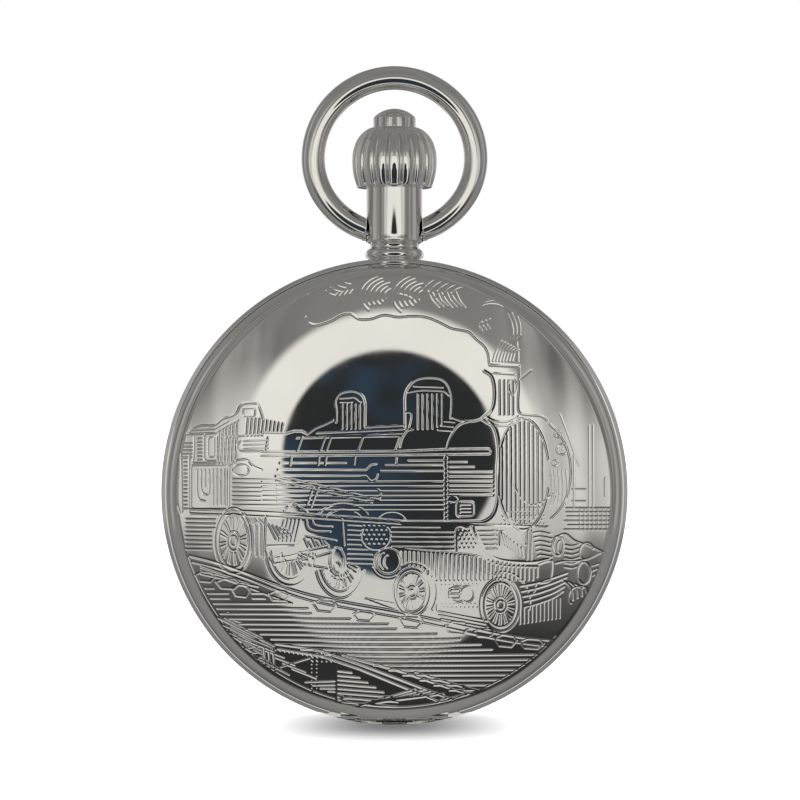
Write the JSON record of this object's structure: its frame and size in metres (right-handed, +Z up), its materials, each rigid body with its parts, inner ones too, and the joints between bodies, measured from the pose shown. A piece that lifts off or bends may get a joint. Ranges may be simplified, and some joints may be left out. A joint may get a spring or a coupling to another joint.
{
  "type": "hunter pocket watch",
  "caption": "Round hinged-cover pocket watch with a pendant, fluted crown, push button, bow ring, engraved front cover, dial, hands and hand-wound movement.",
  "frame": {"origin": "under the middle of the case, at its lowest point, as the watch stands on its rim", "axes": "+Z up through the pendant and the bow, +Y from the front cover towards the back cover, +X to the viewer's right"},
  "size_m": [0.047, 0.0144, 0.0666],
  "materials": {
    "polished_nickel": "polished",
    "crystal_glass": "clear",
    "dial_enamel": "gloss",
    "blued_steel": "polished",
    "gilt_brass": "satin",
    "steel": "polished",
    "ring_metal": "satin",
    "ruby": "polished",
    "bronze_bush": "satin"
  },
  "bodies": {
    "case": {"case_middle": "polished_nickel", "pendant_tube": "polished_nickel", "pendant_bush": "bronze_bush", "movement_ring": "ring_metal", "bezel": "polished_nickel", "crystal": "crystal_glass", "lid_spring": "blued_steel", "front_hinge_pin": "polished_nickel", "back_hinge_pin": "polished_nickel", "catch_pin": "steel", "catch_spring": "blued_steel", "dial": "dial_enamel", "main_plate": "gilt_brass", "barrel_bridge": "gilt_brass", "train_bridge": "gilt_brass", "pallet_bridge": "gilt_brass", "balance_cock": "gilt_brass", "bridge_screws": "blued_steel", "jewels": "ruby", "mainspring": "steel", "crown_wheel_screw": "blued_steel", "click_spring": "blued_steel", "hairspring": "blued_steel", "regulator": "steel"},
    "front_cover": {"front_cover": "polished_nickel"},
    "back_cover": {"back_cover": "polished_nickel"},
    "bow": {"bow": "polished_nickel"},
    "winding_pinion": {"winding_pinion": "steel"},
    "sliding_pinion": {"sliding_pinion": "steel"},
    "stem_and_crown": {"winding_stem": "steel", "crown": "polished_nickel", "button_spring": "steel"},
    "push_button": {"push_button": "polished_nickel", "button_cross_pin": "steel", "release_collar": "bronze_bush"},
    "lid_catch": {"lid_catch": "steel"},
    "minute_hand": {"minute_hand": "blued_steel", "cannon_pinion": "steel"},
    "hour_hand": {"hour_hand": "blued_steel", "hour_wheel": "gilt_brass"},
    "minute_wheel": {"minute_wheel": "gilt_brass"},
    "setting_wheel": {"setting_wheel": "gilt_brass"},
    "setting_lever": {"setting_lever": "steel"},
    "yoke": {"yoke": "steel"},
    "barrel": {"mainspring_barrel": "gilt_brass", "barrel_cover": "gilt_brass"},
    "barrel_arbor": {"barrel_arbor": "steel", "ratchet_wheel": "steel", "ratchet_screw": "blued_steel"},
    "crown_wheel": {"crown_wheel": "steel"},
    "click": {"click": "steel"},
    "center_wheel": {"center_wheel": "gilt_brass"},
    "third_wheel": {"third_wheel": "gilt_brass"},
    "fourth_wheel": {"fourth_wheel": "gilt_brass", "second_hand": "blued_steel"},
    "escape_wheel": {"escape_wheel": "steel"},
    "pallet_fork": {"pallet_fork": "steel"},
    "balance": {"balance_wheel": "gilt_brass", "balance_staff": "steel"}
  },
  "joints": [
    {"name": "front_cover_hinge", "type": "hinge", "parent": "case", "child": "front_cover", "pos_m": [0, -0.0025, 0.0013], "axis": [1, 0, 0], "range_deg": [0, 90]},
    {"name": "back_cover_hinge", "type": "hinge", "parent": "case", "child": "back_cover", "pos_m": [0, 0.0029, 0.0013], "axis": [-1, 0, 0], "range_deg": [0, 90]},
    {"name": "bow_swing", "type": "hinge", "parent": "case", "child": "bow", "pos_m": [0, 0.0002, 0.0495], "axis": [1, 0, 0], "range_deg": [-110, 110]},
    {"name": "crown_turn", "type": "hinge", "parent": "case", "child": "winding_pinion", "pos_m": [0, 0.0002, 0.0357], "axis": [0, 0, 1], "continuous": true},
    {"name": "crown_pull", "type": "slide", "parent": "winding_pinion", "child": "stem_and_crown", "axis": [0, 0, 1], "range_m": [0, 0.0008]},
    {"name": "button_press", "type": "slide", "parent": "stem_and_crown", "child": "push_button", "axis": [0, 0, -1], "range_m": [0, 0.0008], "stiffness_N_per_m": 200, "deforming": ["button_spring"]},
    {"name": "hands_turn", "type": "hinge", "parent": "case", "child": "minute_hand", "pos_m": [0, -0.0032, 0.0235], "axis": [0, 1, 0], "continuous": true},
    {"name": "train_run", "type": "hinge", "parent": "case", "child": "fourth_wheel", "pos_m": [0, 0.0002, 0.0145], "axis": [0, 1, 0], "continuous": true},
    {"name": "catch_swing", "type": "hinge", "parent": "case", "child": "lid_catch", "pos_m": [0.005, 0.0002, 0.0448], "axis": [1, 0, 0], "range_deg": [0, 11.5]},
    {"name": "ratchet_turn", "type": "hinge", "parent": "case", "child": "barrel_arbor", "pos_m": [-0.00702, 0.0036, 0.02755], "axis": [0, 1, 0], "continuous": true},
    {"name": "crown_wheel_turn", "type": "hinge", "parent": "case", "child": "crown_wheel", "pos_m": [0, 0.0036, 0.03312], "axis": [0, 1, 0], "continuous": true},
    {"name": "sliding_pinion_shift", "type": "slide", "parent": "winding_pinion", "child": "sliding_pinion", "axis": [0, 0, 1], "range_m": [-0.0006, 0]},
    {"name": "setting_lever_turn", "type": "hinge", "parent": "case", "child": "setting_lever", "pos_m": [0.0056, -0.0016, 0.0339], "axis": [0, 1, 0], "range_deg": [0, 9.9]},
    {"name": "yoke_turn", "type": "hinge", "parent": "case", "child": "yoke", "pos_m": [-0.0046, -0.0016, 0.0334], "axis": [0, 1, 0], "range_deg": [0, 9.9]},
    {"name": "hour_hand_turn", "type": "hinge", "parent": "case", "child": "hour_hand", "pos_m": [0, -0.0021, 0.0235], "axis": [0, 1, 0], "continuous": true},
    {"name": "minute_wheel_turn", "type": "hinge", "parent": "case", "child": "minute_wheel", "pos_m": [0.00156, -0.0016, 0.0262], "axis": [0, 1, 0], "continuous": true},
    {"name": "setting_wheel_turn", "type": "hinge", "parent": "case", "child": "setting_wheel", "pos_m": [0.00053, -0.0016, 0.02969], "axis": [0, 1, 0], "continuous": true},
    {"name": "third_wheel_turn", "type": "hinge", "parent": "case", "child": "third_wheel", "pos_m": [0.0027, 0.0002, 0.01831], "axis": [0, 1, 0], "continuous": true},
    {"name": "center_wheel_turn", "type": "hinge", "parent": "case", "child": "center_wheel", "pos_m": [0, 0.0002, 0.0235], "axis": [0, 1, 0], "continuous": true},
    {"name": "mainspring_barrel_turn", "type": "hinge", "parent": "case", "child": "barrel", "pos_m": [-0.00702, 0.0012, 0.02755], "axis": [0, 1, 0], "continuous": true},
    {"name": "escape_wheel_turn", "type": "hinge", "parent": "case", "child": "escape_wheel", "pos_m": [0.00425, 0.0015, 0.01336], "axis": [0, 1, 0], "continuous": true},
    {"name": "pawl_click_swing", "type": "hinge", "parent": "case", "child": "click", "pos_m": [-0.0134, 0.0035, 0.0301], "axis": [0, 1, 0], "range_deg": [0, 3]},
    {"name": "pallet_fork_swing", "type": "hinge", "parent": "case", "child": "pallet_fork", "pos_m": [0.00644, 0.0015, 0.01506], "axis": [0, 1, 0], "range_deg": [-5, 5]},
    {"name": "wheel_balance_swing", "type": "hinge", "parent": "case", "child": "balance", "pos_m": [0.0106, 0.0025, 0.0183], "axis": [0, 1, 0], "range_deg": [-270, 270], "stiffness_Nm_per_rad": 0.00000035}
  ],
  "couplings": [
    {"joint": "catch_swing", "follows": "button_press", "rad_per_m": 239.98},
    {"joint": "crown_wheel_turn", "follows": "crown_turn", "ratio": 0.88889},
    {"joint": "ratchet_turn", "follows": "crown_turn", "ratio": -0.53333},
    {"joint": "sliding_pinion_shift", "follows": "crown_pull", "ratio": -0.75},
    {"joint": "setting_lever_turn", "follows": "crown_pull", "rad_per_m": 212.71},
    {"joint": "yoke_turn", "follows": "crown_pull", "rad_per_m": 213.8},
    {"joint": "hour_hand_turn", "follows": "hands_turn", "ratio": 0.083333},
    {"joint": "minute_wheel_turn", "follows": "hands_turn", "ratio": -0.33333},
    {"joint": "setting_wheel_turn", "follows": "hands_turn", "ratio": 0.6},
    {"joint": "third_wheel_turn", "follows": "train_run", "ratio": -0.13333},
    {"joint": "center_wheel_turn", "follows": "train_run", "ratio": 0.016667},
    {"joint": "mainspring_barrel_turn", "follows": "train_run", "ratio": -0.0020833},
    {"joint": "escape_wheel_turn", "follows": "train_run", "ratio": -10}
  ]
}
